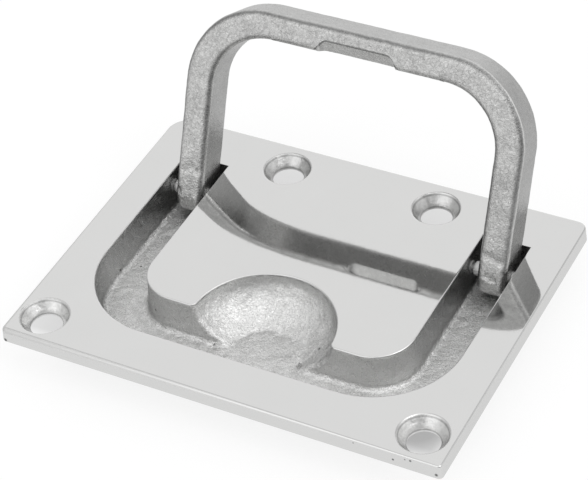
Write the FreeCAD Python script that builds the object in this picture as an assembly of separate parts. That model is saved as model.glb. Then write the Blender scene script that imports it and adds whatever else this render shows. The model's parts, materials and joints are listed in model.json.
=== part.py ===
# Flush-folding grab handle: a cast base with a sunken U-shaped channel and a finger scoop, and a
# cast bail that turns on two short pins and folds down into the channel.
# Millimetres. The origin is at the centre of the plate's underside, which sits on the panel.
# X runs to the right, Y runs to the back where the bail is hinged, and Z points up out of the panel.
import FreeCAD, Part
import math
import os

V = FreeCAD.Vector

# Plate
plate_width = 96.0
plate_depth = 72.5
plate_thick = 3.0
plate_side_draft = 0.25         # each side leans in by this much towards the top
plate_edge_round = 0.4          # worn top edge of the plate
front_corner_r = 2.0
back_left_corner_r = 4.5
back_right_corner_r = 2.4       # ground down less than the left one

# Channel, measured at the plate's top
channel_side_margin = 8.4       # from the plate's side to the channel
channel_width = 10.2
channel_front_margin = 10.3     # from the plate's front edge to the channel
channel_corner_r = 18.0
island_corner_r = 8.5
channel_depth = 8.2
channel_draft = 0.7             # each wall leans in by this much over the channel's depth
floor_fillet = 1.2
rim_round = 0.3                 # worn edge round the channel, the scoop and the island
cusp_round = 1.3                # where the scoop's bowl breaks through the island's front wall
wall = 2.2                      # walls of the channel and of the scoop
floor_thick = 2.0
tray_edge_round = 2.0           # outer edge along the bottom of the tray
island_thick = 1.9              # the island is cored out from below

# Finger scoop, a round bowl at the middle of the island's front edge
scoop_r = 15.0
scoop_bowl_depth = 9.4          # vertical half axis of the bowl, which the channel's floor cuts flat

# Countersunk screw holes
screw_hole_r = 3.3
countersink_r = 5.1
countersink_depth = 2.5
front_screw_side_inset = 6.7
front_screw_inset = 6.8
back_screw_half = 17.2
back_screw_inset = 7.3

# Hinge
pivot_from_back = 17.5          # from the plate's back edge
pivot_depth = 3.3               # below the plate's top
lean_angle = 23.0               # how far the standing bail leans back on its stop
stop_gap = 0.05                 # between the bail and the edge that it leans on
pin_r = 1.3
pin_running_gap = 0.06          # radial, in the bail's bores
pin_seat = 1.5                  # how deep the pin sits in the outer wall
pin_chamfer = 0.25

# Bail
bail_arm_width = 6.4
bail_bar_width = 6.0            # of the crossbar
bail_thick = 9.0
bail_edge_r = 1.6
bail_outer_corner_r = 17.6
bail_inner_corner_r = 12.2
bail_front_clearance = 1.5      # to the channel's front wall when folded
bail_slide = 0.75               # how far right of the middle the loose bail stands on its pins
relief_half = 6.6               # finger relief, half the length of its straight part
relief_run = 3.6                # length of each curved end
relief_depth = 2.9

# Worked out from the sizes above
top = plate_thick
plate_half = plate_width / 2
plate_front = -plate_depth / 2
plate_back = plate_depth / 2
channel_outer_half = plate_half - channel_side_margin
channel_front = plate_front + channel_front_margin
island_half = channel_outer_half - channel_width
island_front = channel_front + channel_width
channel_floor = top - channel_depth
tray_bottom = channel_floor - floor_thick
draft_slope = channel_draft / channel_depth
pivot_y = plate_back - pivot_from_back
pivot_z = top - pivot_depth
bail_half_thick = bail_thick / 2
lean = math.radians(lean_angle)
stop_reach = bail_half_thick + stop_gap + pivot_depth * math.sin(lean)
slot_back = pivot_y + stop_reach / math.cos(lean)
arm_middle = channel_outer_half - channel_width / 2
bail_outer_half = arm_middle + bail_arm_width / 2
bail_inner_half = arm_middle - bail_arm_width / 2
bail_reach = pivot_y - channel_front - bail_front_clearance
bail_inner_reach = bail_reach - bail_bar_width
front_screw_half = plate_half - front_screw_side_inset
over = 1.0                      # how far a cutting shape reaches past the surface that it cuts


def line(a, b):
    return Part.LineSegment(a, b).toShape()


def arc(centre, radius, start, end, z):
    """An arc in a level plane, from one angle in degrees to another, through the middle angle."""
    points = []
    for angle in (start, (start + end) / 2, end):
        turn = math.radians(angle)
        points.append(V(centre[0] + radius * math.cos(turn), centre[1] + radius * math.sin(turn), z))
    return Part.Arc(*points).toShape()


def plate_outline(inset, z):
    """The plate's outline, drawn in by an inset."""
    half = plate_half - inset
    front = plate_front + inset
    back = plate_back - inset
    front_r = front_corner_r - inset
    left_r = back_left_corner_r - inset
    right_r = back_right_corner_r - inset
    return Part.Wire([
        line(V(-half + front_r, front, z), V(half - front_r, front, z)),
        arc((half - front_r, front + front_r), front_r, -90, 0, z),
        line(V(half, front + front_r, z), V(half, back - right_r, z)),
        arc((half - right_r, back - right_r), right_r, 0, 90, z),
        line(V(half - right_r, back, z), V(-half + left_r, back, z)),
        arc((-half + left_r, back - left_r), left_r, 90, 180, z),
        line(V(-half, back - left_r, z), V(-half, front + front_r, z)),
        arc((-half + front_r, front + front_r), front_r, 180, 270, z),
    ])


def channel_outline(grow, z):
    """The channel's U-shaped outline, made wider on every side by grow, or narrower below zero."""
    outer = channel_outer_half + grow
    inner = island_half - grow
    front = channel_front - grow
    inner_front = island_front + grow
    back = slot_back + grow
    outer_r = channel_corner_r + grow
    inner_r = island_corner_r - grow
    return Part.Wire([
        line(V(-outer, back, z), V(-outer, front + outer_r, z)),
        arc((-outer + outer_r, front + outer_r), outer_r, 180, 270, z),
        line(V(-outer + outer_r, front, z), V(outer - outer_r, front, z)),
        arc((outer - outer_r, front + outer_r), outer_r, -90, 0, z),
        line(V(outer, front + outer_r, z), V(outer, back, z)),
        line(V(outer, back, z), V(inner, back, z)),
        line(V(inner, back, z), V(inner, inner_front + inner_r, z)),
        arc((inner - inner_r, inner_front + inner_r), inner_r, 0, -90, z),
        line(V(inner - inner_r, inner_front, z), V(-inner + inner_r, inner_front, z)),
        arc((-inner + inner_r, inner_front + inner_r), inner_r, 270, 180, z),
        line(V(-inner, inner_front + inner_r, z), V(-inner, back, z)),
        line(V(-inner, back, z), V(-outer, back, z)),
    ])


def channel_block(grow, high, low):
    """A solid that fills the channel, with its drafted walls, between two heights."""
    upper = channel_outline(grow - draft_slope * (top - high), high)
    lower = channel_outline(grow - draft_slope * (top - low), low)
    return Part.makeLoft([upper, lower], True, True)


def flat_edges(shape, z):
    """The edges of a shape that lie at one height."""
    found = []
    for edge in shape.Edges:
        box = edge.BoundBox
        if abs(box.ZMin - z) < 1e-4 and abs(box.ZMax - z) < 1e-4:
            found.append(edge)
    return found


def bowl(radius, depth, low):
    """A bowl about the middle of the island's front edge, cut flat at its bottom."""
    fall = (top - low) / depth
    foot = radius * math.sqrt(1 - fall * fall)
    # the ellipse is drawn level and then stood up, with its long axis along X
    ellipse = Part.Ellipse(V(0, 0, 0), radius, depth)
    curve = Part.ArcOfEllipse(ellipse, -math.asin(fall), 0).toShape()
    curve.rotate(V(0, 0, 0), V(1, 0, 0), 90)
    curve.translate(V(0, 0, top))
    profile = Part.Wire([
        curve,
        line(V(radius, 0, top), V(0, 0, top)),
        line(V(0, 0, top), V(0, 0, low)),
        line(V(0, 0, low), V(foot, 0, low)),
    ])
    solid = Part.Face(profile).revolve(V(0, 0, 0), V(0, 0, 1), 360)
    # in front of the island the channel itself makes the room
    behind = Part.makeBox(
        2 * radius, radius + channel_width / 2, top - low,
        V(-radius, -channel_width / 2, low))
    solid = solid.common(behind)
    solid.translate(V(0, island_front, 0))
    return solid


def screw_places():
    front = plate_front + front_screw_inset
    back = plate_back - back_screw_inset
    return [
        (-front_screw_half, front),
        (front_screw_half, front),
        (-back_screw_half, back),
        (back_screw_half, back),
    ]


def countersunk_hole(x, y):
    """A screw hole with its cone, as the solid that cuts it."""
    spread = (countersink_r - screw_hole_r) / countersink_depth
    shaft = Part.makeCylinder(screw_hole_r, plate_thick + 2 * over, V(x, y, -over))
    wide_r = countersink_r + over * spread
    cone = Part.makeCone(screw_hole_r, wide_r, countersink_depth + over, V(x, y, top - countersink_depth))
    return shaft.fuse(cone)


def make_hollow():
    """The channel and the scoop together, as the solid that cuts them."""
    channel = channel_block(0, top, channel_floor)
    hollow = channel.fuse(bowl(scoop_r, scoop_bowl_depth, channel_floor)).removeSplitter()
    cusps = [edge for edge in hollow.Edges if is_cusp(edge)]
    hollow = hollow.makeFillet(cusp_round, cusps)
    return hollow.makeFillet(floor_fillet, flat_edges(hollow, channel_floor))


def is_cusp(edge):
    """Whether an edge is one of the two steep ones where the scoop opens into the channel."""
    box = edge.BoundBox
    beside_scoop = max(-box.XMin, box.XMax) < scoop_r + channel_draft
    return beside_scoop and box.ZLength > channel_depth / 2 and box.YMin < island_front - channel_draft / 2


def is_rim(edge):
    """Whether an edge on the plate's top runs round the hollow, apart from the slots' square ends."""
    box = edge.BoundBox
    within_sides = max(-box.XMin, box.XMax) < channel_outer_half + channel_draft
    return within_sides and box.YMin > channel_front - channel_draft and box.YMin < pivot_y


def make_base():
    plate = Part.makeLoft([plate_outline(0, 0), plate_outline(plate_side_draft, top)], True, True)
    plate = plate.makeFillet(plate_edge_round, flat_edges(plate, top))
    # the island is cored out from below, with a wall's thickness left round it and the back screws
    core_half = island_half - wall
    core_front = island_front + wall
    core_back = plate_back - back_screw_inset - screw_hole_r - wall
    core = Part.makeBox(
        2 * core_half, core_back - core_front, plate_thick - island_thick + over,
        V(-core_half, core_front, -over))
    tray = channel_block(wall, top / 2, tray_bottom)
    tray = tray.makeFillet(tray_edge_round, flat_edges(tray, tray_bottom))
    shell = bowl(scoop_r + wall, scoop_bowl_depth + wall, tray_bottom)
    base = plate.cut(core).fuse([tray, shell]).removeSplitter()
    base = base.cut(make_hollow()).removeSplitter()
    base = base.makeFillet(rim_round, [edge for edge in flat_edges(base, top) if is_rim(edge)])
    base = base.cut([countersunk_hole(x, y) for x, y in screw_places()])
    return base.cut([make_pin(side, 0) for side in (-1, 1)])


def pin_ends():
    """Where each pin begins in the island's hollow and ends in the outer wall, as distances along X."""
    outer_wall_face = channel_outer_half - draft_slope * pivot_depth
    return island_half - wall, outer_wall_face + pin_seat


def make_pin(side, chamfer):
    """The hinge pin on one side, -1 for left and 1 for right."""
    inner, outer = pin_ends()
    pin = Part.makeCylinder(pin_r, outer - inner, V(inner, pivot_y, pivot_z), V(1, 0, 0))
    if chamfer:
        ends = [edge for edge in pin.Edges if edge.BoundBox.XLength < 1e-4]
        pin = pin.makeChamfer(chamfer, ends)
    if side < 0:
        pin = pin.mirror(V(0, 0, 0), V(1, 0, 0))
    return pin


def standing_arc(centre_x, centre_z, radius, start, end, y):
    """An arc in an upright plane across the bail, from one angle in degrees to another."""
    points = []
    for angle in (start, (start + end) / 2, end):
        turn = math.radians(angle)
        points.append(V(centre_x + radius * math.cos(turn), y, centre_z + radius * math.sin(turn)))
    return Part.Arc(*points).toShape()


def bail_outline(y):
    """The loop seen from the front, standing upright with the pivot at the origin."""
    foot = -bail_half_thick
    outer_x = bail_outer_half - bail_outer_corner_r
    outer_z = bail_reach - bail_outer_corner_r
    inner_x = bail_inner_half - bail_inner_corner_r
    inner_z = bail_inner_reach - bail_inner_corner_r
    return Part.Wire([
        line(V(-bail_outer_half, y, foot), V(-bail_outer_half, y, outer_z)),
        standing_arc(-outer_x, outer_z, bail_outer_corner_r, 180, 90, y),
        line(V(-outer_x, y, bail_reach), V(outer_x, y, bail_reach)),
        standing_arc(outer_x, outer_z, bail_outer_corner_r, 90, 0, y),
        line(V(bail_outer_half, y, outer_z), V(bail_outer_half, y, foot)),
        line(V(bail_outer_half, y, foot), V(bail_inner_half, y, foot)),
        line(V(bail_inner_half, y, foot), V(bail_inner_half, y, inner_z)),
        standing_arc(inner_x, inner_z, bail_inner_corner_r, 0, 90, y),
        line(V(inner_x, y, bail_inner_reach), V(-inner_x, y, bail_inner_reach)),
        standing_arc(-inner_x, inner_z, bail_inner_corner_r, 90, 180, y),
        line(V(-bail_inner_half, y, inner_z), V(-bail_inner_half, y, foot)),
        line(V(-bail_inner_half, y, foot), V(-bail_outer_half, y, foot)),
    ])


def finger_relief():
    """The solid that cuts the finger relief: a sloping trough in the crossbar's lower front edge."""
    y = -bail_half_thick
    low = bail_inner_reach
    high = low + relief_depth
    turn = 2 * math.atan2(relief_depth, relief_run)
    end_r = relief_run / (2 * math.sin(turn))
    sweep = math.degrees(turn)
    far = relief_half + relief_run
    profile = Part.Wire([
        line(V(-far, y, low - over), V(-far, y, low)),
        standing_arc(-far, low + end_r, end_r, -90, -90 + sweep, y),
        standing_arc(-relief_half, high - end_r, end_r, 90 + sweep, 90, y),
        line(V(-relief_half, y, high), V(relief_half, y, high)),
        standing_arc(relief_half, high - end_r, end_r, 90, 90 - sweep, y),
        standing_arc(far, low + end_r, end_r, 270 - sweep, 270, y),
        line(V(far, y, low), V(far, y, low - over)),
        line(V(far, y, low - over), V(-far, y, low - over)),
    ])
    slope = V(0, 1, -1)
    trough = Part.Face(profile).extrude(slope * (relief_depth + 2 * over))
    trough.translate(slope * -over)
    return trough


def make_bail():
    loop = Part.Face(bail_outline(-bail_half_thick)).extrude(V(0, bail_thick, 0))
    # the feet are round about the pivot, so that they turn in the channel
    width = 2 * (bail_outer_half + over)
    upright = Part.makeBox(width, bail_thick, bail_reach + over, V(-width / 2, -bail_half_thick, 0))
    feet = Part.makeCylinder(bail_half_thick, width, V(-width / 2, 0, 0), V(1, 0, 0))
    loop = loop.common(upright.fuse(feet)).removeSplitter()
    sharp = []
    for edge in loop.Edges:
        box = edge.BoundBox
        across_arm = box.YLength < 1e-4 and box.ZLength < 1e-4 and box.XLength < bail_arm_width + 1e-3
        if not across_arm:
            sharp.append(edge)
    loop = loop.makeFillet(bail_edge_r, sharp)
    loop = loop.cut(finger_relief())
    bore = Part.makeCylinder(pin_r + pin_running_gap, width, V(-width / 2, 0, 0), V(1, 0, 0))
    loop = loop.cut(bore)
    loop.rotate(V(0, 0, 0), V(1, 0, 0), -lean_angle)
    loop.translate(V(bail_slide, pivot_y, pivot_z))
    return loop


nodes = {
    "base": make_base(),
    "bail": make_bail(),
    "hinge_pin_left": make_pin(-1, pin_chamfer),
    "hinge_pin_right": make_pin(1, pin_chamfer),
}

os.makedirs("parts", exist_ok=True)
for name, shape in nodes.items():
    if not shape.isValid() or len(shape.Solids) != 1:
        raise ValueError(name + " isn't one valid solid")
    shape.Solids[0].exportStep("parts/" + name + ".step")
    print(name, round(shape.Volume, 1), "cubic mm", shape.BoundBox)
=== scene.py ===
# Dresses the flush grab handle: a polished cast plate with a rough channel and finger scoop,
# a blasted cast bail and two hinge pins, on a plain pale floor.
import json
import math

import bmesh
import bpy
from bpy.props import FloatProperty, FloatVectorProperty, PointerProperty
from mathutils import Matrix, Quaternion, Vector

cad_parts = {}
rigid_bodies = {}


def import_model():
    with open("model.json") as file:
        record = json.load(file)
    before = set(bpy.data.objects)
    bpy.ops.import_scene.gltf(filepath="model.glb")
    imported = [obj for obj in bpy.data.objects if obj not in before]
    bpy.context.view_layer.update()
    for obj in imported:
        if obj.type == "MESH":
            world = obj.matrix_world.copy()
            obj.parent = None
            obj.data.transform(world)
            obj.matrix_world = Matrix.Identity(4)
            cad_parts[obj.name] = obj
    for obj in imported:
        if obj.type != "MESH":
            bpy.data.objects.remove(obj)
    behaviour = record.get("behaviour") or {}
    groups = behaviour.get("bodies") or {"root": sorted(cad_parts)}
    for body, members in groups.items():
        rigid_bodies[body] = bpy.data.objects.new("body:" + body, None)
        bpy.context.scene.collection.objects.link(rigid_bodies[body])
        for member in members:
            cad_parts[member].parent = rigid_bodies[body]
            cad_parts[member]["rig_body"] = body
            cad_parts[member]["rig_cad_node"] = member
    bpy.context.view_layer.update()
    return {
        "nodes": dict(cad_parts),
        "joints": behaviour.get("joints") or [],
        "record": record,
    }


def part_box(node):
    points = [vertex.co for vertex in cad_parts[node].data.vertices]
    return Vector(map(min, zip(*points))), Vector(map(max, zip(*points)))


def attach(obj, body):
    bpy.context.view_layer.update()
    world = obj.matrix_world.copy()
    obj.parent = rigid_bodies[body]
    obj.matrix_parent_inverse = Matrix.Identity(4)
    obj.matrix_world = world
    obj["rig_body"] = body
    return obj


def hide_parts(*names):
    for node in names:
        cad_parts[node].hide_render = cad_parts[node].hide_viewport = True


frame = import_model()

bl_info = {
    "name": "Flush Grab Handle",
    "version": (1, 0, 0),
    "blender": (4, 5, 0),
    "location": "3D View > Sidebar > Grab Handle",
    "description": "Makes the dressed pieces, the floor, the lights and the camera of a flush grab handle",
    "category": "Object",
}

MM = 0.001
X_AXIS, Y_AXIS, Z_AXIS = Vector((1, 0, 0)), Vector((0, 1, 0)), Vector((0, 0, 1))
# closer than this, two vertices become one, and flatter than this, two faces
MERGE_GAP = 0.0005 * MM
FLAT_ANGLE = math.radians(0.4)
# edges bent by less than this count as smooth
SMOOTH_ANGLE = math.radians(40)
# tolerances for telling which surface a vertex or the middle of a face lies on
TOUCH = 0.001 * MM
NEAR = 0.01 * MM
# a face is level when the height of its direction is over the first, and nearly so over the second
LEVEL = 0.999
NEARLY_LEVEL = 0.99

PLATE_TOP = 3.0 * MM
CHANNEL_FLOOR = -5.2 * MM
PLATE_HALF_WIDTH = 48.0 * MM
PLATE_HALF_DEPTH = 36.25 * MM
CORNER_RADIUS = 2.0 * MM
WORN_CORNER_RADIUS = 1.5 * MM
CRISP_CORNER_RADIUS = 1.0 * MM
# the plate's sides lean in, and a narrow round joins them to its top
SIDE_LEAN = 0.25 / 3.0
EDGE_WIDTH = 0.40 * MM
EDGE_DROP = 0.38 * MM
EDGE_SLACK = 1.05
# the round grows by this share at the front left corner, and less and less along this reach from it
ROLL_GROWTH = 1.5
ROLL_REACH = 50.0 * MM
ROLL_STEPS = 12
# the plate's sides and its round lie this near to its outline, and most of the round this near to its top
SIDE_BAND = 2.0 * MM
ROUND_BAND = 0.7 * MM
ROUND_DEPTH = 0.32 * MM

CONE_RADIUS = 5.1 * MM
CONE_FOOT = 0.5 * MM
CONE_SLACK = 0.05 * MM
COUNTERSINK_WEAR = 0.25 * MM
# painted shade lines run round each cone at these heights, dark as far as the first size and gone at the
# second
CONE_LINES = (PLATE_TOP - 0.42 * MM, CONE_FOOT)
CONE_LINE_WIDTH = (0.05 * MM, 0.24 * MM)

NECK_RADIUS = 0.6 * MM
DOME_LENGTH = 1.9 * MM
DOME_ROUND = 0.7 * MM
DOME_RADIUS = 1.5 * MM
DOME_STEPS = 6
PIN_END_LENGTH = 0.25 * MM
PIN_END_SHARE = 0.8
# this near to a pin, the hollow is roughened by this share only
CALM_RADIUS = 3.2 * MM
CALM_SHARE = 0.15
# the gap on the left of each foot, from the slot's wall to the foot
PIN_GAPS = {"hinge_pin_left": (-39.32 * MM, -36.95 * MM), "hinge_pin_right": (29.68 * MM, 32.05 * MM)}

# how far the bail reaches from the pivot: down, up, to its two sides, and forwards and back
BAIL_FOOT = 4.5 * MM
BAIL_REACH = 43.2 * MM
BAIL_SIDES = (-37.0 * MM, 38.5 * MM)
BAIL_HALF_THICK = 4.5 * MM
BAIL_MIDDLE = 0.75 * MM
# the finger relief: half its width, half the straight part of its upper edge, how far this edge is up
# from the pivot, and how far it drops at its ends
RELIEF_HALF = 10.2 * MM
RELIEF_STRAIGHT = 6.6 * MM
RELIEF_TOP = 40.1 * MM
RELIEF_HEIGHT = 2.9 * MM
# the rubbed part fades along the first, and the painted shade line along its upper edge is set by the
# others
RELIEF_FADE = 1.5 * MM
RELIEF_LINE_WIDTH = (0.08 * MM, 0.32 * MM)
RELIEF_LINE_FRONT = (3.4 * MM, 4.0 * MM)
RELIEF_LINE_FADE = 0.4 * MM

# where a change in a finish, or in painted shade, begins and ends
DULL_EDGES_X = (-42.0 * MM, 10.0 * MM)
DARK_WALLS_Y = (-8.0 * MM, 14.0 * MM)
DARK_CONES_Y = (-10.0 * MM, 20.0 * MM)
DARK_SIDES_Z = (4.0 * MM, 20.0 * MM)
BRIGHT_FEET_Z = (3.0 * MM, 12.0 * MM)
CROWN_FRONT_Y = (-20.0 * MM, -14.0 * MM)
CROWN_LEAN_Y = (2.0 * MM, 18.0 * MM)
CROWN_BACK_Y = (18.0 * MM, 22.0 * MM)
CROWN_SIDE_X = (30.0 * MM, 38.0 * MM)

BLACK = (0, 0, 0, 1)
# dark gas holes, and the painted shade lines in the cones
DIRT_AND_PAINTED_SHADE = (0.05, 0.05, 0.05, 1)
# painted shade for the line along the finger relief's upper edge
RELIEF_PAINTED_SHADE = (0.06, 0.06, 0.06, 1)
# painted shade: a dark reflection along the bail's rounded edges
EDGE_PAINTED_SHADE = (0.10, 0.10, 0.10, 1)
RUBBED_STEEL = (0.92, 0.92, 0.91, 1)
# a painted highlight beside that dark reflection
PAINTED_HIGHLIGHT = (1.0, 1.0, 0.99, 1)
# how much of its brightness a surface keeps at a glancing angle
CLEAN_GLANCE = 0.85
CAST_GLANCE = 0.5

# a painted shadow darkens the floor's glow in an area of the plate's size, set back by this and fading over
# this inside its edge
FLOOR_SHIFT = (5.0 * MM, -9.0 * MM, 0)
FLOOR_EDGE = (-3.0 * MM, 0.0)
# and a darker painted shadow lies in the spot that shows through the front right screw hole
FLOOR_SPOT = (35.0 * MM, -19.5 * MM)
FLOOR_SPOT_WIDTH = (4.0 * MM, 9.0 * MM)
FLOOR_WHITE = (0.97, 0.97, 0.97, 1)
# painted shade dims the floor's glow in this direction, between these two distances in metres
DIM_TOWARDS = (0.86, -0.5, 0)
DIM_FROM_TO = (0.10, 0.22)
# brighter and darker areas of the sky: a direction, the angles in degrees where each is full and gone,
# and its amount
SKY_AREAS = (
    ((-0.35, -0.90, 0.25), 15, 45, 0.22),
    ((-0.25, -0.75, 0.60), 8, 28, 0.36),
    ((0.60, -0.05, 0.80), 16, 40, 0.38),
    ((-0.30, 0.95, 0.05), 15, 38, 0.22),
    ((0.40, 0.70, 0.60), 10, 30, -0.42),
    ((-0.45, 0.05, 0.89), 8, 24, -0.28),
    ((-0.95, -0.10, 0.30), 15, 45, -0.30),
    ((0.66, -0.70, 0.22), 12, 40, -0.45))


def places_mm(*rows):
    """Flaws given in millimetres: a place and a radius, and for dents a depth."""
    return [(tuple(value * MM for value in row[:3]), *(value * MM for value in row[3:])) for row in rows]


HOLLOW_PITS = places_mm(
    (-39.0, -5.5, -4.3, 0.35), (-38.9, -6.6, -3.6, 0.3), (-36.3, -2.0, -5.2, 0.35),
    (-35.9, -8.4, -5.2, 0.25), (10.0, -11.2, -3.4, 0.4), (-24.8, -15.3, -2.0, 0.4))
HOLLOW_DENTS = places_mm(
    (0.1, -9.2, -5.2, 1.2, 0.25), (7.4, -15.4, -5.2, 2.6, 0.3), (3.0, -13.0, -5.2, 2.0, 0.2),
    (-10.5, -16.8, -5.1, 1.8, 0.3), (-7.8, -18.4, -5.2, 1.0, 0.25))
POLISH_PITS = places_mm(
    (41.7, -36.2, 2.3, 0.35), (40.6, -36.2, 2.2, 0.25), (30.1, -36.2, 2.3, 0.25),
    (38.2, -36.2, 1.3, 0.3), (46.9, -36.0, 0.8, 0.45), (-46.8, -36.1, 0.3, 0.5))
BAIL_DENTS = places_mm(
    (33.4, 16.4, 5.8, 1.4, 0.22), (35.1, 16.4, 5.6, 1.4, 0.22), (36.9, 16.2, 5.1, 1.3, 0.22),
    (34.5, 14.8, 1.9, 1.0, 0.25), (36.0, 14.6, 1.5, 1.0, 0.25),
    (-35.0, 16.8, 6.6, 1.3, 0.18), (-33.6, 17.1, 7.3, 1.4, 0.2), (-32.0, 16.9, 6.7, 1.3, 0.2),
    (-35.8, 15.0, 2.2, 1.2, 0.25), (-31.3, 27.9, 32.9, 2.2, 0.12))

joint = frame["joints"][0]
PIVOT = Vector(joint["pos_m"])
LEAN = math.radians(23.0)
FORWARDS = Vector((0, -math.cos(LEAN), math.sin(LEAN)))
DOWN = Vector((0, -math.sin(LEAN), -math.cos(LEAN)))
# the finger relief slopes halfway between forwards and down
RELIEF = (FORWARDS + DOWN).normalized()
mounts = {mount["name"]: mount for mount in frame["record"]["mounts"]}


def screw_places():
    """Where the four screw holes are, seen from above."""
    places = []
    for name in ("front_screws", "back_screws"):
        mount = mounts[name]
        half = mount["dims"]["spacing_x_mm"] * MM / 2
        places += [(-half, mount["pos_m"][1]), (half, mount["pos_m"][1])]
    return places


class GrabHandleSteel(bpy.types.PropertyGroup):
    """Colours and surface of the steel"""

    polished_colour: FloatVectorProperty(
        name="Polished Colour", description="Colour of the ground and polished faces",
        subtype="COLOR", size=3, min=0, max=1, default=(0.655, 0.655, 0.65))
    polished_roughness: FloatProperty(
        name="Polished Roughness", description="How blurred the polished faces reflect",
        min=0, max=1, default=0.03)
    cast_colour: FloatVectorProperty(
        name="Cast Colour", description="Colour of the rough cast faces of the base",
        subtype="COLOR", size=3, min=0, max=1, default=(0.72, 0.72, 0.715))
    blasted_colour: FloatVectorProperty(
        name="Blasted Colour", description="Colour of the blasted faces of the bail",
        subtype="COLOR", size=3, min=0, max=1, default=(0.505, 0.505, 0.50))
    cast_roughness: FloatProperty(
        name="Cast Roughness", description="How blurred the cast faces reflect",
        min=0, max=1, default=0.30)
    cell: FloatProperty(
        name="Mesh Cell",
        description="Size of the grid that the cast faces are cut to before they are roughened",
        subtype="DISTANCE", unit="LENGTH", min=0.0004, max=0.01, default=0.0009, precision=5)
    ripple_depth: FloatProperty(
        name="Ripple Depth", description="How deep the broad ripple of the casting is",
        subtype="DISTANCE", unit="LENGTH", min=0, max=0.001, default=0.00018, precision=5)
    ripple_size: FloatProperty(
        name="Ripple Size", description="Length of one broad ripple",
        subtype="DISTANCE", unit="LENGTH", min=0.0005, max=0.02, default=0.0018, precision=5)
    grain_depth: FloatProperty(
        name="Grain Depth", description="How deep the fine grain of the casting is",
        subtype="DISTANCE", unit="LENGTH", min=0, max=0.001, default=0.00008, precision=5)
    grain_size: FloatProperty(
        name="Grain Size", description="Length of one grain",
        subtype="DISTANCE", unit="LENGTH", min=0.0002, max=0.02, default=0.0009, precision=5)


class GrabHandleStudio(bpy.types.PropertyGroup):
    """Floor, light and camera"""

    floor_colour: FloatVectorProperty(
        name="Floor Colour", description="Colour of the floor",
        subtype="COLOR", size=3, min=0, max=1, default=(0.80, 0.80, 0.80))
    floor_glow: FloatProperty(
        name="Floor Glow", description="Part of the floor's brightness that comes from a lamp under it",
        min=0, max=1, default=0.80)
    floor_drop: FloatProperty(
        name="Floor Height", description="Height of the floor that the tray stands on",
        subtype="DISTANCE", unit="LENGTH", default=-0.0072, precision=5)
    camera_place: FloatVectorProperty(
        name="Camera Place", description="Where the camera stands",
        subtype="XYZ", unit="LENGTH", size=3, default=(0.1736, -0.2834, 0.3047), precision=5)
    camera_aim: FloatVectorProperty(
        name="Camera Aim", description="The point on the plate at the middle of the picture",
        subtype="XYZ", unit="LENGTH", size=3, default=(-0.00548, 0.00925, 0.003), precision=5)
    camera_roll: FloatProperty(
        name="Camera Roll", description="How far the camera is turned about its own axis",
        subtype="ANGLE", unit="ROTATION", default=math.radians(-6.32))
    camera_lens: FloatProperty(
        name="Lens", description="Focal length in millimetres, on a sensor 36 mm wide",
        subtype="DISTANCE_CAMERA", unit="CAMERA", min=10, max=500, default=137.83)


def select_only(piece):
    bpy.ops.object.select_all(action="DESELECT")
    piece.select_set(True)
    bpy.context.view_layer.objects.active = piece


def open_edit(piece):
    """Opens a piece in edit mode, for selecting faces."""
    select_only(piece)
    bpy.ops.object.mode_set(mode="EDIT")
    bpy.ops.mesh.select_mode(type="FACE")


def end_edit():
    bpy.ops.object.mode_set(mode="OBJECT")


def copy_node(node, name):
    """A merged copy of a CAD node, with its flat faces made whole again."""
    select_only(frame["nodes"][node])
    bpy.ops.object.duplicate()
    piece = bpy.context.active_object
    piece.name = name
    piece.data.name = name
    piece.parent = None
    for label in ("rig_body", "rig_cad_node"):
        del piece[label]
    piece.data.materials.clear()
    bpy.ops.mesh.customdata_custom_splitnormals_clear()
    bpy.ops.object.mode_set(mode="EDIT")
    bpy.ops.mesh.select_all(action="SELECT")
    bpy.ops.mesh.remove_doubles(threshold=MERGE_GAP)
    bpy.ops.mesh.dissolve_limited(angle_limit=FLAT_ANGLE)
    end_edit()
    return piece


def add_slots(piece, *materials):
    for material in materials:
        piece.data.materials.append(material)


def select_slot(piece, slot):
    """Selects the faces of one material slot, in edit mode."""
    bpy.ops.mesh.select_all(action="DESELECT")
    piece.active_material_index = slot
    bpy.ops.object.material_slot_select()


def cut_grid(piece, slot, axis, low, high, cell, centre=Vector((0, 0, 0))):
    """Cuts the faces of one material slot by even planes across an axis."""
    count = max(1, round((high - low) / cell))
    for step in range(1, count):
        place = centre + axis * (low + (high - low) * step / count)
        select_slot(piece, slot)
        bpy.ops.mesh.bisect(plane_co=place, plane_no=axis)


def split_slot(piece, slot):
    """Halves every edge of the faces of one material slot."""
    select_slot(piece, slot)
    bpy.ops.mesh.quads_convert_to_tris(quad_method="BEAUTY", ngon_method="BEAUTY")
    bpy.ops.mesh.subdivide(number_cuts=1)
    bpy.ops.mesh.quads_convert_to_tris(quad_method="BEAUTY", ngon_method="BEAUTY")


def group_inside(piece, slot, name):
    """Makes a vertex group of the vertices that only faces of one material slot meet at."""
    inside = set()
    border = set()
    for polygon in piece.data.polygons:
        (inside if polygon.material_index == slot else border).update(polygon.vertices)
    piece.vertex_groups.new(name=name).add(sorted(inside - border), 1.0, "REPLACE")


def roughen(piece, group, name, size, depth):
    """Sinks a piece's surface by a cloud pattern, never outwards."""
    pattern = bpy.data.textures.new(name, "CLOUDS")
    pattern.noise_scale = size
    pattern.noise_depth = 1
    pattern.noise_basis = "ORIGINAL_PERLIN"
    select_only(piece)
    bpy.ops.object.modifier_add(type="DISPLACE")
    modifier = piece.modifiers[-1]
    modifier.texture = pattern
    modifier.texture_coords = "LOCAL"
    modifier.direction = "NORMAL"
    modifier.mid_level = 1.0
    modifier.strength = depth
    # by name, because applying a modifier makes the piece's groups anew
    modifier.vertex_group = group
    if modifier.vertex_group != group:
        raise RuntimeError("no vertex group " + group)
    bpy.ops.object.modifier_apply(modifier=modifier.name)


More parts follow.
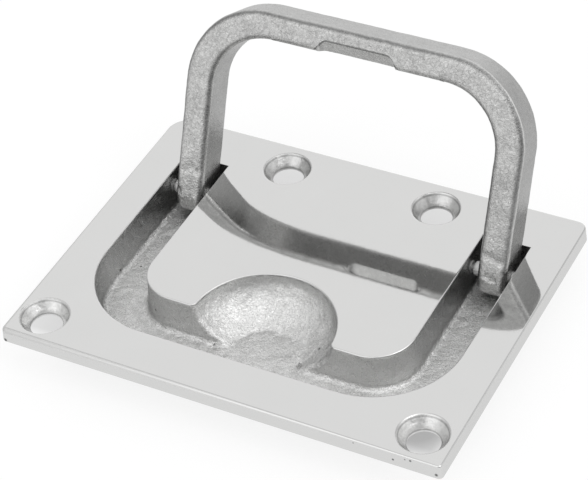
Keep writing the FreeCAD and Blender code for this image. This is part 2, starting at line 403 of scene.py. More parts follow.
def dent(piece, dents):
    """Presses soft hollows into a piece, each from its place, radius and depth."""
    for centre, radius, depth in dents:
        for vertex in piece.data.vertices:
            share = 1 - (vertex.co - Vector(centre)).length / radius
            if share > 0:
                vertex.co -= vertex.normal * depth * share * share * (3 - 2 * share)


def smooth_faces(piece):
    """Shades a piece smoothly but for its sharp edges, with the large flat faces kept true."""
    select_only(piece)
    bpy.ops.object.shade_smooth_by_angle(angle=SMOOTH_ANGLE)
    bpy.ops.object.modifier_add(type="WEIGHTED_NORMAL")
    modifier = piece.modifiers[-1]
    modifier.keep_sharp = True
    modifier.weight = 100
    bpy.ops.object.modifier_apply(modifier=modifier.name)


def new_material(name):
    material = bpy.data.materials.new(name)
    material.use_nodes = True
    tree = material.node_tree
    tree.nodes.clear()
    return material, tree


def add_node(tree, kind, inputs=None, **settings):
    """A node with its settings, and with its inputs set to values or linked to sockets."""
    node = tree.nodes.new(kind)
    for name, value in settings.items():
        setattr(node, name, value)
    for name, value in (inputs or {}).items():
        if isinstance(value, bpy.types.NodeSocket):
            tree.links.new(value, node.inputs[name])
        else:
            node.inputs[name].default_value = value
    return node


def object_place(tree):
    return add_node(tree, "ShaderNodeTexCoord").outputs["Object"]


def object_normal(tree):
    """The surface's direction in the object's own frame, so that it turns with its body."""
    normal = add_node(tree, "ShaderNodeNewGeometry").outputs["Normal"]
    return add_node(tree, "ShaderNodeVectorTransform", {"Vector": normal},
                    vector_type="NORMAL", convert_from="WORLD", convert_to="OBJECT").outputs["Vector"]


def noise(tree, place, size, detail=2.0, roughness=0.5, distortion=0.0):
    """A noise pattern with features of one size, in metres."""
    node = add_node(tree, "ShaderNodeTexNoise", {
        "Vector": place, "Scale": 1 / size, "Detail": detail, "Roughness": roughness,
        "Distortion": distortion})
    return node.outputs["Fac"]


def spread(tree, value, low, high, to_low, to_high):
    """Maps a value from one range to another, clamped at both ends."""
    node = add_node(tree, "ShaderNodeMapRange", {
        "Value": value, "From Min": low, "From Max": high, "To Min": to_low, "To Max": to_high})
    return node.outputs["Result"]


def calculate(tree, operation, first, second=0.0):
    node = add_node(tree, "ShaderNodeMath", {0: first, 1: second}, operation=operation)
    return node.outputs[0]


def product(tree, value, *others):
    """All the values multiplied together."""
    for other in others:
        value = calculate(tree, "MULTIPLY", value, other)
    return value


def away_from(tree, value, level):
    """How far a value is from a level, on either side of it."""
    return calculate(tree, "ABSOLUTE", calculate(tree, "SUBTRACT", value, level))


def vector_math(tree, operation, first, second=(0, 0, 0)):
    """A calculation on vectors. Its result is the output Vector, or Value where it is one number."""
    return add_node(tree, "ShaderNodeVectorMath", {0: first, 1: second}, operation=operation).outputs


def part_of(tree, vector, axis):
    """The X, Y or Z part of a vector."""
    return add_node(tree, "ShaderNodeSeparateXYZ", {"Vector": vector}).outputs[axis]


def facing(tree, vector, axis):
    """How squarely a surface looks along an axis, from -1 to 1, or how far a place lies along it."""
    return vector_math(tree, "DOT_PRODUCT", vector, axis)["Value"]


def mix_colour(tree, factor, first, second):
    # the colour sockets of a mix node share their names with the other kinds, so they go by number
    node = add_node(tree, "ShaderNodeMix", {0: factor, 6: first, 7: second}, data_type="RGBA")
    return node.outputs[2]


def shade_colour(tree, value, colour, dark, light):
    """The colour, made darker or lighter by a value between 0 and 1."""
    low = tuple(channel * dark for channel in colour) + (1,)
    high = tuple(min(1, channel * light) for channel in colour) + (1,)
    return mix_colour(tree, value, low, high)


def bump(tree, height, depth, normal=None, strength=1.0):
    """Bump from a height between 0 and 1 that stands for a depth in metres."""
    node = add_node(tree, "ShaderNodeBump", {"Height": height, "Distance": depth, "Strength": strength})
    if normal is not None:
        tree.links.new(normal, node.inputs["Normal"])
    return node.outputs["Normal"]


def finish_metal(tree, colour, roughness, normal, glance):
    """Metal that reflects less at a glancing angle, as a surface that isn't quite clean does."""
    shader = add_node(tree, "ShaderNodeBsdfPrincipled", {
        "Base Color": colour, "Metallic": 1.0, "Roughness": roughness, "Normal": normal,
        "Specular Tint": (glance, glance, glance, 1)})
    add_node(tree, "ShaderNodeOutputMaterial", {"Surface": shader.outputs["BSDF"]})


def polished_finish(steel):
    """Ground and polished by hand: nearly a mirror, faintly wavy and scratched.

    The rounded edges are duller, most of all towards the left.
    """
    material, tree = new_material("polished_steel_face")
    place = object_place(tree)
    stretched = add_node(tree, "ShaderNodeMapping", {
        "Vector": place, "Rotation": (0, 0, math.radians(12)), "Scale": (1, 14, 1)}).outputs["Vector"]
    scratches = noise(tree, stretched, size=1.6 * MM, detail=3)
    clouds = noise(tree, place, size=9 * MM)
    mirror = steel.polished_roughness
    roughness = calculate(tree, "ADD", spread(tree, clouds, 0.35, 0.7, 0.0, 0.02),
                          spread(tree, scratches, 0.5, 0.75, mirror, mirror + 0.05))
    level = part_of(tree, object_normal(tree), "Z")
    rubbed = product(
        tree,
        spread(tree, level, 0.05, 0.25, 0.0, 0.24),
        spread(tree, level, 0.90, 0.995, 1.0, 0.0),
        spread(tree, part_of(tree, place, "X"), *DULL_EDGES_X, 2.4, 1.0))
    roughness = calculate(tree, "ADD", roughness, rubbed)
    colour = shade_colour(tree, clouds, steel.polished_colour, 0.985, 1.01)
    colour = mark_pits(tree, place, colour, POLISH_PITS)
    waves = noise(tree, place, size=12 * MM, detail=1)
    normal = bump(tree, waves, depth=0.012 * MM, normal=crowned_normal(tree, place))
    normal = bump(tree, scratches, depth=0.0004 * MM, normal=normal)
    finish_metal(tree, colour, roughness, normal, CLEAN_GLANCE)
    return material


def crowned_normal(tree, place):
    """The island's top is ground slightly crowned, so that it leans forwards more towards its front."""
    across = calculate(tree, "ABSOLUTE", part_of(tree, place, "X"))
    back = part_of(tree, place, "Y")
    lean = product(
        tree,
        spread(tree, back, *CROWN_LEAN_Y, 0.072, 0.025),
        spread(tree, back, *CROWN_FRONT_Y, 0.0, 1.0),
        spread(tree, back, *CROWN_BACK_Y, 1.0, 0.0),
        spread(tree, across, *CROWN_SIDE_X, 1.0, 0.4))
    tilt = add_node(tree, "ShaderNodeCombineXYZ", {"Y": product(tree, lean, -1.0)})
    turned = add_node(tree, "ShaderNodeVectorTransform", {"Vector": tilt.outputs["Vector"]},
                      vector_type="VECTOR", convert_from="OBJECT", convert_to="WORLD")
    flat = add_node(tree, "ShaderNodeNewGeometry").outputs["Normal"]
    leaned = vector_math(tree, "ADD", flat, turned.outputs["Vector"])["Vector"]
    return vector_math(tree, "NORMALIZE", leaned)["Vector"]


def paint_edge_reflections(tree, normal, colour, axis):
    """Paints a dark reflection along the middle of each rounded edge round the faces that look along an
    axis, but not where the edge faces down.

    A painted highlight runs in a thin line beside it, on the right.
    """
    level = part_of(tree, normal, "Z")
    along = facing(tree, normal, axis)
    square = product(tree, along, along)
    # this is 1 in the middle of the edge, where the square is a half, and 0 on the flat faces
    halfway = product(tree, square, 4.0, calculate(tree, "SUBTRACT", 1.0, square))
    # painted shade: a dark reflection along the middle of the edge
    painted_shade = product(
        tree,
        calculate(tree, "POWER", halfway, 3.0),
        spread(tree, level, -0.30, -0.12, 0.0, 0.60))
    colour = mix_colour(tree, painted_shade, colour, EDGE_PAINTED_SHADE)
    # painted highlight: a thin bright line beside it
    highlight_line = product(
        tree,
        spread(tree, away_from(tree, along, 0.30), 0.03, 0.18, 1.0, 0.0),
        spread(tree, part_of(tree, normal, "X"), 0.12, 0.45, 0.0, 1.0),
        spread(tree, level, 0.14, 0.45, 0.22, 0.65))
    return mix_colour(tree, highlight_line, colour, PAINTED_HIGHLIGHT)


def mark_relief(tree, place, normal, colour):
    """The finger relief is rubbed brighter, and a line of painted shade, a dark reflection, runs along its
    upper edge.
    """
    arm = vector_math(tree, "SUBTRACT", place, PIVOT + X_AXIS * BAIL_MIDDLE)["Vector"]
    across = calculate(tree, "ABSOLUTE", part_of(tree, arm, "X"))
    rubbed = product(
        tree,
        spread(tree, facing(tree, normal, RELIEF), 0.80, 0.92, 0.0, 0.34),
        spread(tree, across, RELIEF_HALF, RELIEF_HALF + RELIEF_FADE, 1.0, 0.0))
    colour = mix_colour(tree, rubbed, colour, RUBBED_STEEL)
    edge = add_node(tree, "ShaderNodeMapRange", {
        "Value": across, "From Min": RELIEF_STRAIGHT, "From Max": RELIEF_HALF,
        "To Min": RELIEF_TOP, "To Max": RELIEF_TOP - RELIEF_HEIGHT},
        interpolation_type="SMOOTHSTEP").outputs["Result"]
    above = calculate(tree, "ADD", facing(tree, arm, DOWN), edge)
    # painted shade: a dark reflection line along the relief's upper edge
    line = product(
        tree,
        spread(tree, calculate(tree, "ABSOLUTE", above), *RELIEF_LINE_WIDTH, 0.72, 0.0),
        spread(tree, facing(tree, arm, FORWARDS), *RELIEF_LINE_FRONT, 0.0, 1.0),
        spread(tree, across, RELIEF_HALF - RELIEF_LINE_FADE, RELIEF_HALF, 1.0, 0.0))
    return mix_colour(tree, line, colour, RELIEF_PAINTED_SHADE)


def mark_pits(tree, place, colour, pits):
    """Small dark gas holes, each from its place and radius."""
    for centre, radius in pits:
        away = vector_math(tree, "DISTANCE", place, centre)["Value"]
        colour = mix_colour(tree, spread(tree, away, radius * 0.5, radius, 0.85, 0.0), colour, DIRT_AND_PAINTED_SHADE)
    return colour


def cast_finish(name, colour, size, relief, dullness, contrast, pits=(), shade=0.0):
    """As cast: a crinkled grain with fine sand in it, lighter on its tops, in faint blotches.

    The grain is fainter on upright walls, and painted shade makes these darker towards the back.
    """
    material, tree = new_material(name)
    place = object_place(tree)
    level = part_of(tree, object_normal(tree), "Z")
    # painted shade: upright walls darker towards the back
    dark = product(
        tree,
        spread(tree, level, 0.15, 0.7, 1.0, 0.0),
        spread(tree, part_of(tree, place, "Y"), *DARK_WALLS_Y, 0.0, shade))

    def mark(tinted):
        return mark_pits(tree, place, mix_colour(tree, dark, tinted, BLACK), pits)

    finish_grain(tree, place, colour, size, relief, dullness, contrast,
                 depth=spread(tree, level, 0.15, 0.6, 0.2, 1.0), glance=CAST_GLANCE, mark=mark)
    return material


def blasted_finish(name, colour, size, relief, dullness, contrast):
    """Blasted: a coarse grain on the front and the back, fainter elsewhere.

    Painted shade makes the sides darker higher up and the faces that look down darkest, and the feet are a
    little brighter.
    """
    material, tree = new_material(name)
    place = object_place(tree)
    normal = object_normal(tree)
    height = part_of(tree, place, "Z")
    along = calculate(tree, "ABSOLUTE", facing(tree, normal, FORWARDS))
    aside = calculate(tree, "ABSOLUTE", facing(tree, normal, X_AXIS))
    # painted shade: the sides darker higher up
    sides = product(
        tree,
        spread(tree, aside, 0.25, 0.85, 0.0, 1.0),
        spread(tree, height, *DARK_SIDES_Z, 0.0, 0.24))
    feet = spread(tree, height, *BRIGHT_FEET_Z, 0.16, 0.0)
    # painted shade on the faces that look down
    underside_shade = spread(tree, facing(tree, normal, DOWN), 0.75, 0.95, 0.0, 0.36)

    def mark(tinted):
        for amount, tone in ((sides, BLACK), (feet, RUBBED_STEEL), (underside_shade, BLACK)):
            tinted = mix_colour(tree, amount, tinted, tone)
        tinted = mark_relief(tree, place, normal, tinted)
        return paint_edge_reflections(tree, normal, tinted, FORWARDS)

    finish_grain(tree, place, colour, size, relief, dullness, contrast,
                 depth=spread(tree, along, 0.3, 0.8, 0.4, 1.0), glance=CLEAN_GLANCE, mark=mark)
    return material


def finish_grain(tree, place, colour, size, relief, dullness, contrast, depth, glance, mark):
    """Grain, sand and blotches in the colour and the bump. A function marks the colour further."""
    grain = noise(tree, place, size, detail=3, roughness=0.65, distortion=0.9)
    sand = noise(tree, place, size * 0.55, detail=2)
    blotches = noise(tree, place, size * 6, detail=3)
    tone = calculate(tree, "ADD", spread(tree, grain, 0.34, 0.66, 0.0, 0.7),
                     spread(tree, blotches, 0.3, 0.7, 0.0, 0.3))
    # where the grain is faint, its tone stays near the middle
    tone = calculate(tree, "ADD", product(tree, calculate(tree, "SUBTRACT", tone, 0.5), depth), 0.5)
    tinted = mark(shade_colour(tree, tone, colour, 1 - contrast, 1 + contrast))
    roughness = spread(tree, sand, 0.3, 0.7, dullness - 0.06, dullness + 0.08)
    normal = bump(tree, blotches, relief, strength=depth)
    normal = bump(tree, grain, relief, normal, strength=depth)
    normal = bump(tree, sand, relief * 0.4, normal, strength=depth)
    finish_metal(tree, tinted, roughness, normal, glance)


def countersink_finish(steel):
    """Cut, then worn: mottled, darker towards the back, and with painted shade in lines at the rim and the
    foot.
    """
    material, tree = new_material("machined_steel_cones")
    place = object_place(tree)
    height = part_of(tree, place, "Z")
    mottle = noise(tree, place, size=1.1 * MM, detail=3, roughness=0.6)
    broad = noise(tree, place, size=2.6 * MM, detail=1)
    sparkle = noise(tree, place, size=0.4 * MM, detail=2)
    colour = shade_colour(tree, spread(tree, mottle, 0.3, 0.7, 0.0, 1.0), steel.cast_colour, 0.86, 1.06)
    back = spread(tree, part_of(tree, place, "Y"), *DARK_CONES_Y, 0.0, 0.12)
    colour = mix_colour(tree, back, colour, BLACK)
    # painted shade in lines at the rim and at the foot of each cone
    for level in CONE_LINES:
        line = spread(tree, away_from(tree, height, level), *CONE_LINE_WIDTH, 0.42, 0.0)
        colour = mix_colour(tree, line, colour, DIRT_AND_PAINTED_SHADE)
    normal = bump(tree, broad, depth=0.16 * MM)
    normal = bump(tree, mottle, depth=0.05 * MM, normal=normal)
    normal = bump(tree, sparkle, depth=0.05 * MM, normal=normal)
    finish_metal(tree, colour, spread(tree, mottle, 0.3, 0.7, 0.28, 0.40), normal, CLEAN_GLANCE)
    return material


def pin_finish(steel):
    """Turned steel, with fine lines round it."""
    material, tree = new_material("pin_steel_face")
    stretched = add_node(tree, "ShaderNodeMapping", {
        "Vector": object_place(tree), "Scale": (1, 0.06, 0.06)}).outputs["Vector"]
    lines = noise(tree, stretched, size=0.25 * MM, detail=3)
    colour = shade_colour(tree, lines, steel.cast_colour, 0.95, 1.15)
    roughness = spread(tree, lines, 0.3, 0.7, 0.62, 0.74)
    finish_metal(tree, colour, roughness, bump(tree, lines, depth=0.012 * MM), CLEAN_GLANCE)
    return material


def painted_shade_finish(steel):
    """Steel painted dark as the shade it lies in, faintly stained."""
    material, tree = new_material("pin_neck_painted_shade")
    stain = noise(tree, object_place(tree), size=0.5 * MM)
    colour = shade_colour(tree, stain, steel.blasted_colour, 0.5, 0.8)
    roughness = spread(tree, stain, 0.3, 0.7, 0.4, 0.55)
    finish_metal(tree, colour, roughness, bump(tree, stain, depth=0.02 * MM), CAST_GLANCE)
    return material


POLISHED, HOLLOW, CONES, UNDERSIDE = range(4)


def near_screw(place, radius):
    return any(math.hypot(place.x - x, place.y - y) < radius for x, y in screw_places())


def sort_base_faces(mesh):
    """Gives each face of the base its finish: polished above, machined in the holes, cast elsewhere."""
    for face in mesh.faces:
        centre = face.calc_center_median()
        on_cone = (-NEAR < centre.z < PLATE_TOP - COUNTERSINK_WEAR and abs(face.normal.z) < NEARLY_LEVEL
                   and near_screw(centre, CONE_RADIUS))
        on_side = (abs(centre.x) > PLATE_HALF_WIDTH - SIDE_BAND
                   or abs(centre.y) > PLATE_HALF_DEPTH - SIDE_BAND)
        if on_cone:
            face.material_index = CONES
        elif centre.z > PLATE_TOP - ROUND_DEPTH or (on_side and centre.z > TOUCH):
            face.material_index = POLISHED
        else:
            face.material_index = UNDERSIDE
    # the hollow is what joins on smoothly to the channel's floor, up to the polished rim
    reached = [face for face in mesh.faces
               if face.normal.z > LEVEL and abs(face.calc_center_median().z - CHANNEL_FLOOR) < NEAR]
    for face in reached:
        face.material_index = HOLLOW
    while reached:
        face = reached.pop()
        for edge in face.edges:
            for other in edge.link_faces:
                # an edge without two faces counts as sharp
                if other.material_index == UNDERSIDE and edge.calc_face_angle(math.pi) < SMOOTH_ANGLE:
                    other.material_index = HOLLOW
                    reached.append(other)


def wear_countersinks(piece):
    """Rounds the sharp top edge of each countersink."""
    mesh = bmesh.from_edit_mesh(piece.data)
    bpy.ops.mesh.select_mode(type="EDGE")
    bpy.ops.mesh.select_all(action="DESELECT")
    for edge in mesh.edges:
        middle = (edge.verts[0].co + edge.verts[1].co) / 2
        level = all(abs(vertex.co.z - PLATE_TOP) < TOUCH for vertex in edge.verts)
        if level and near_screw(middle, CONE_RADIUS + CONE_SLACK):
            edge.select_set(True)
    bpy.ops.mesh.bevel(offset=COUNTERSINK_WEAR, segments=3)
    bpy.ops.mesh.select_mode(type="FACE")


def from_corner(x, y, corner):
    """The direction from a rounded corner's centre to a place, and how far inside its edge that is."""
    out = Vector((x, y)) - corner
    return out.normalized(), CORNER_RADIUS - out.length


def round_corner(corner, out, radius):
    """Where a corner's edge goes when it is given another radius between the same two sides."""
    shift = Vector((math.copysign(1, corner.x), math.copysign(1, corner.y))) * (CORNER_RADIUS - radius)
    return corner + shift + out * radius


def roll_front_edge(piece):
    """Rolls the plate's top edge over round its front left corner, and less further from it.

    The front right corner is ground crisper instead.
    """
    mesh = bmesh.from_edit_mesh(piece.data)
    bpy.ops.mesh.select_all(action="DESELECT")
    for face in mesh.faces:
        centre = face.calc_center_median()
        outside = centre.y < -PLATE_HALF_DEPTH + ROUND_BAND or centre.x < -PLATE_HALF_WIDTH + ROUND_BAND
        face.select_set(outside and centre.z > NEAR and face.normal.z < LEVEL)
    for axis, start in ((X_AXIS, -PLATE_HALF_WIDTH), (Y_AXIS, -PLATE_HALF_DEPTH)):
        for step in range(1, ROLL_STEPS + 1):
            bpy.ops.mesh.bisect(plane_co=axis * (start + step * ROLL_REACH / ROLL_STEPS), plane_no=axis)
    mesh = bmesh.from_edit_mesh(piece.data)
    corner = Vector((-PLATE_HALF_WIDTH + CORNER_RADIUS, -PLATE_HALF_DEPTH + CORNER_RADIUS))
    for vertex in mesh.verts:
        x, y, z = vertex.co
        if z < -TOUCH:
            continue
        share = 0.0
        if x < corner.x and y < corner.y:
            share = 1.0
            out, inset = from_corner(x, y, corner)
            edge = round_corner(corner, out, WORN_CORNER_RADIUS)
        elif x > -corner.x and y < corner.y:
            right = Vector((-corner.x, corner.y))
            out, inset = from_corner(x, y, right)
            edge = round_corner(right, out, CRISP_CORNER_RADIUS)
        elif y < -PLATE_HALF_DEPTH + ROUND_BAND:
            inset, out, edge = y + PLATE_HALF_DEPTH, Vector((0, -1)), Vector((x, -PLATE_HALF_DEPTH))
            share = 1 - (x - corner.x) / ROLL_REACH
        elif x < -PLATE_HALF_WIDTH + ROUND_BAND:
            inset, out, edge = x + PLATE_HALF_WIDTH, Vector((-1, 0)), Vector((-PLATE_HALF_WIDTH, y))
            share = 1 - (y - corner.y) / ROLL_REACH
        else:
            continue
        grow = 1 + ROLL_GROWTH * max(0.0, share)
        drop = PLATE_TOP - z
        width = inset - SIDE_LEAN * z
        # further in, the plate's top stays flat
        if width > EDGE_WIDTH * EDGE_SLACK:
            continue
        if drop < EDGE_DROP:
            z = PLATE_TOP - drop * grow
            width *= grow
        else:
            z *= (PLATE_TOP - EDGE_DROP * grow) / (PLATE_TOP - EDGE_DROP)
        vertex.co = (*(edge - out * (width + SIDE_LEAN * z)), z)
    bmesh.update_edit_mesh(piece.data)


class GRABHANDLE_OT_base(bpy.types.Operator):
    """Makes the base: the CAD solid with its cast hollow roughened, and a finish for each kind of face"""

    bl_idname = "grabhandle.base"
    bl_label = "Base"

    def execute(self, context):
        steel = context.scene.grab_handle_steel
        piece = copy_node("base", "base_dressed")
        add_slots(
            piece,
            polished_finish(steel),
            cast_finish("cast_steel_hollow", steel.cast_colour, size=0.42 * MM, relief=0.18 * MM,
                        dullness=steel.cast_roughness, contrast=0.20, pits=HOLLOW_PITS, shade=0.40),
            countersink_finish(steel),
            cast_finish("cast_steel_underside", steel.cast_colour, size=0.5 * MM, relief=0.05 * MM,
                        dullness=steel.cast_roughness + 0.1, contrast=0.14),
        )
        open_edit(piece)
        wear_countersinks(piece)
        roll_front_edge(piece)
        mesh = bmesh.from_edit_mesh(piece.data)
        sort_base_faces(mesh)
        bmesh.update_edit_mesh(piece.data)
        low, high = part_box("base")
        for axis, start, end in ((X_AXIS, low.x, high.x), (Y_AXIS, low.y, high.y),
                                 (Z_AXIS, CHANNEL_FLOOR, PLATE_TOP)):
            cut_grid(piece, HOLLOW, axis, start, end, steel.cell)
        split_slot(piece, HOLLOW)
        end_edit()
        group_inside(piece, HOLLOW, "hollow")
        beside_pins = [
            vertex.index for vertex in piece.data.vertices
            if len(vertex.groups)
            and math.hypot(vertex.co.y - PIVOT.y, vertex.co.z - PIVOT.z) < CALM_RADIUS]
        piece.vertex_groups["hollow"].add(beside_pins, CALM_SHARE, "REPLACE")
        roughen(piece, "hollow", "hollow_ripple", steel.ripple_size, steel.ripple_depth)
        roughen(piece, "hollow", "hollow_grain", steel.grain_size, steel.grain_depth)
        dent(piece, HOLLOW_DENTS)
        smooth_faces(piece)
        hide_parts("base")
        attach(piece, "base")
        return {"FINISHED"}


class GRABHANDLE_OT_bail(bpy.types.Operator):
    """Makes the bail: the CAD solid with a blasted, slightly uneven cast surface"""

    bl_idname = "grabhandle.bail"
    bl_label = "Bail"

    def execute(self, context):
        steel = context.scene.grab_handle_steel
        piece = copy_node("bail", "bail_dressed")
        add_slots(piece, blasted_finish(
            "cast_steel_bail", steel.blasted_colour, size=0.60 * MM, relief=0.17 * MM,
            dullness=steel.cast_roughness, contrast=0.32))
        open_edit(piece)
        for axis, start, end in ((X_AXIS, *BAIL_SIDES), (-DOWN, -BAIL_FOOT, BAIL_REACH),
                                 (-FORWARDS, -BAIL_HALF_THICK, BAIL_HALF_THICK)):
            cut_grid(piece, 0, axis, start, end, steel.cell, PIVOT)
        split_slot(piece, 0)
        end_edit()
        group_inside(piece, 0, "cast")
        # the bail's ripple is broader than the base's and its grain finer, and both are shallower
        roughen(piece, "cast", "bail_ripple", steel.ripple_size * 1.6, steel.ripple_depth * 0.8)
        roughen(piece, "cast", "bail_grain", steel.grain_size * 0.8, steel.grain_depth * 0.7)
        dent(piece, BAIL_DENTS)
        smooth_faces(piece)
        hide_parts("bail")
        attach(piece, "bail")
        return {"FINISHED"}


def turn_profile(name, steps, sides=40):
    """A round piece along the hinge's axis, from the place and radius of each of its steps."""
    (place, radius), rest = steps[0], steps[1:]
    bpy.ops.object.select_all(action="DESELECT")
    bpy.ops.mesh.primitive_circle_add(vertices=sides, radius=radius, fill_type="NGON",
                                      location=(place, PIVOT.y, PIVOT.z), rotation=(0, math.pi / 2, 0))
    piece = bpy.context.active_object
    piece.name = name
    piece.data.name = name
    bpy.ops.object.transform_apply(location=True, rotation=True, scale=True)
    bpy.ops.object.mode_set(mode="EDIT")
    bpy.ops.mesh.select_mode(type="FACE")
    bpy.ops.mesh.select_all(action="SELECT")
    for next_place, next_radius in rest:
        bpy.ops.mesh.extrude_region_move(TRANSFORM_OT_translate={"value": (next_place - place, 0, 0)})
        factor = next_radius / radius
        bpy.ops.transform.resize(value=(1, factor, factor), center_override=(next_place, PIVOT.y, PIVOT.z))
        place, radius = next_place, next_radius
    bpy.ops.mesh.select_all(action="SELECT")
    bpy.ops.mesh.normals_make_consistent(inside=False)
    end_edit()
    return piece


class GRABHANDLE_OT_pins(bpy.types.Operator):
    """Makes the two hinge pins, each with a domed shoulder and a thin neck on the foot's left, painted dark
    as shade
    """

    bl_idname = "grabhandle.pins"
    bl_label = "Hinge Pins"

    def execute(self, context):
        steel = context.scene.grab_handle_steel
        bright, painted_shade = pin_finish(steel), painted_shade_finish(steel)
        for name in ("hinge_pin_left", "hinge_pin_right"):
            low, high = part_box(name)
            full = (high.z - low.z) / 2
            end = full * PIN_END_SHARE
            wall, foot = PIN_GAPS[name]
            dome = foot - DOME_LENGTH
            steps = [(low.x, end), (low.x + PIN_END_LENGTH, full), (wall, full), (wall, NECK_RADIUS)]
            for turn in range(DOME_STEPS + 1):
                angle = math.radians(90 * turn / DOME_STEPS)
                steps.append((dome + DOME_ROUND * (1 - math.cos(angle)),
                              NECK_RADIUS + (DOME_RADIUS - NECK_RADIUS) * math.sin(angle)))
            steps += [(foot, DOME_RADIUS), (foot, full), (high.x - PIN_END_LENGTH, full), (high.x, end)]
            piece = turn_profile(name + "_dressed", steps)
            add_slots(piece, bright, painted_shade)
            for polygon in piece.data.polygons:
                # the neck, between the wall and the dome, gets the painted shade
                polygon.material_index = int(wall + NEAR < polygon.center.x < dome + NEAR)
            smooth_faces(piece)
            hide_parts(name)
            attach(piece, "base")
        return {"FINISHED"}


def floor_finish(studio):
    """A pale table lit from below: it shows as white, keeps the object's shadow, and painted shade dims it
    far to the right.

    Painted shadow makes it darker under the object, and darkest where it shows through the front right
    screw hole.
    """
    material, tree = new_material("studio_floor")
    rays = add_node(tree, "ShaderNodeLightPath").outputs
    seen = calculate(tree, "MAXIMUM", rays["Is Camera Ray"], rays["Is Glossy Ray"])
    seen = calculate(tree, "MAXIMUM", seen, rays["Is Transmission Ray"])
    tone = mix_colour(tree, seen, tuple(studio.floor_colour) + (1,), FLOOR_WHITE)
    place = add_node(tree, "ShaderNodeNewGeometry").outputs["Position"]
    middle = vector_math(tree, "ADD", place, FLOOR_SHIFT)["Vector"]
    out_x = calculate(tree, "ABSOLUTE", part_of(tree, middle, "X"))
    out_x = calculate(tree, "SUBTRACT", out_x, PLATE_HALF_WIDTH)
    out_y = calculate(tree, "ABSOLUTE", part_of(tree, middle, "Y"))
    out_y = calculate(tree, "SUBTRACT", out_y, PLATE_HALF_DEPTH)
    away = vector_math(tree, "DISTANCE", place, (*FLOOR_SPOT, studio.floor_drop))["Value"]
    # the glow, darkened by painted shadow under the object and in the spot, and by painted shade far to the
    # right
    glow_with_painted_shadow = product(
        tree,
        spread(tree, facing(tree, place, DIM_TOWARDS), *DIM_FROM_TO, 1.0, 0.30),
        spread(tree, calculate(tree, "MAXIMUM", out_x, out_y), *FLOOR_EDGE, 0.73, 1.0),
        spread(tree, away, *FLOOR_SPOT_WIDTH, 0.60, 1.0))
    paint = add_node(tree, "ShaderNodeBsdfDiffuse", {"Color": tone})
    light = add_node(tree, "ShaderNodeEmission", {"Strength": glow_with_painted_shadow})
    both = add_node(tree, "ShaderNodeMixShader", {
        0: product(tree, seen, studio.floor_glow),
        1: paint.outputs["BSDF"], 2: light.outputs["Emission"]})
    add_node(tree, "ShaderNodeOutputMaterial", {"Surface": both.outputs["Shader"]})
    return material


def make_sky(scene):
    """Pale studio walls, brighter above, with softer lights and darker screens in some directions."""
    world = bpy.data.worlds.new("studio")
    world.use_nodes = True
    tree = world.node_tree
    tree.nodes.clear()
    towards = add_node(tree, "ShaderNodeTexCoord").outputs["Generated"]
    strength = spread(tree, part_of(tree, towards, "Z"), 0.0, 0.45, 0.72, 1.05)
    for direction, inner, outer, amount in SKY_AREAS:
        patch = spread(tree, facing(tree, towards, Vector(direction).normalized()),
                       math.cos(math.radians(outer)), math.cos(math.radians(inner)), 0.0, amount)
        strength = calculate(tree, "ADD", patch, strength)
    light = add_node(tree, "ShaderNodeBackground", {"Color": (1, 1, 1, 1), "Strength": strength})
    add_node(tree, "ShaderNodeOutputWorld", {"Surface": light.outputs["Background"]})
    scene.world = world


def add_lamp(name, place, aim, size, power):
    bpy.ops.object.light_add(type="AREA", location=place)
    lamp = bpy.context.active_object
    lamp.name = name
    lamp.data.shape = "DISK"
    lamp.data.size = size
    lamp.data.energy = power
    lamp.rotation_euler = (Vector(aim) - Vector(place)).to_track_quat("-Z", "Y").to_euler()


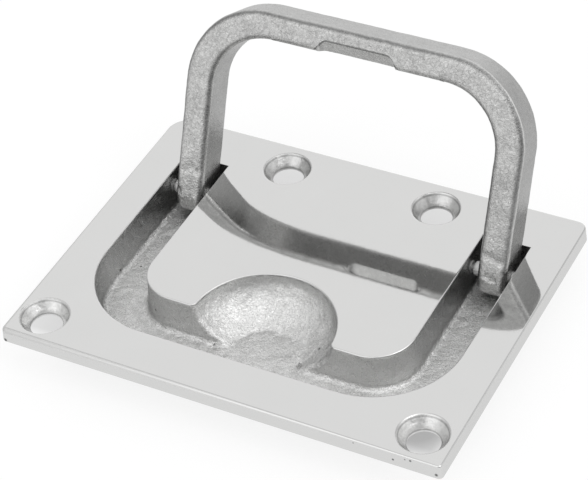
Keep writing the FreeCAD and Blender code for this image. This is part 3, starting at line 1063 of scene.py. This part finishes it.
class GRABHANDLE_OT_stage(bpy.types.Operator):
    """Makes the floor, the lights and the camera"""

    bl_idname = "grabhandle.stage"
    bl_label = "Floor, Lights and Camera"

    def execute(self, context):
        scene = context.scene
        studio = scene.grab_handle_studio
        bpy.ops.object.select_all(action="DESELECT")
        bpy.ops.mesh.primitive_plane_add(size=6, location=(0, 0, studio.floor_drop))
        floor = context.active_object
        floor.name = "floor"
        bpy.ops.object.transform_apply(location=True, rotation=True, scale=True)
        floor.data.materials.append(floor_finish(studio))
        make_sky(scene)
        add_lamp("soft_box", place=(0.58, -0.10, 0.72), aim=(0, 0, 0), size=0.5, power=0.8)
        place, aim = Vector(studio.camera_place), Vector(studio.camera_aim)
        bpy.ops.object.camera_add(location=place)
        camera = context.active_object
        camera.name = "camera"
        level = (aim - place).to_track_quat("-Z", "Y")
        camera.rotation_euler = (level @ Quaternion((0, 0, 1), studio.camera_roll)).to_euler()
        camera.data.sensor_width = 36
        camera.data.lens = studio.camera_lens
        camera.data.clip_start, camera.data.clip_end = 0.01, 20
        scene.camera = camera
        scene.view_settings.view_transform = "Standard"
        return {"FINISHED"}


class GRABHANDLE_PT_panel(bpy.types.Panel):
    """Lists the steps that make the grab handle"""

    bl_label = "Grab Handle"
    bl_space_type = "VIEW_3D"
    bl_region_type = "UI"
    bl_category = "Grab Handle"

    def draw(self, context):
        layout = self.layout
        for operator in OPERATORS:
            layout.operator(operator.bl_idname)
        for group in (context.scene.grab_handle_steel, context.scene.grab_handle_studio):
            box = layout.box()
            for name in group.__annotations__:
                box.prop(group, name)


OPERATORS = (GRABHANDLE_OT_base, GRABHANDLE_OT_bail, GRABHANDLE_OT_pins, GRABHANDLE_OT_stage)
CLASSES = (GrabHandleSteel, GrabHandleStudio) + OPERATORS + (GRABHANDLE_PT_panel,)


def register():
    for kind in CLASSES:
        bpy.utils.register_class(kind)
    bpy.types.Scene.grab_handle_steel = PointerProperty(type=GrabHandleSteel)
    bpy.types.Scene.grab_handle_studio = PointerProperty(type=GrabHandleStudio)


def unregister():
    del bpy.types.Scene.grab_handle_studio
    del bpy.types.Scene.grab_handle_steel
    for kind in reversed(CLASSES):
        bpy.utils.unregister_class(kind)


def main():
    register()
    bpy.ops.grabhandle.base()
    bpy.ops.grabhandle.bail()
    bpy.ops.grabhandle.pins()
    bpy.ops.grabhandle.stage()


if __name__ == "__main__":
    main()
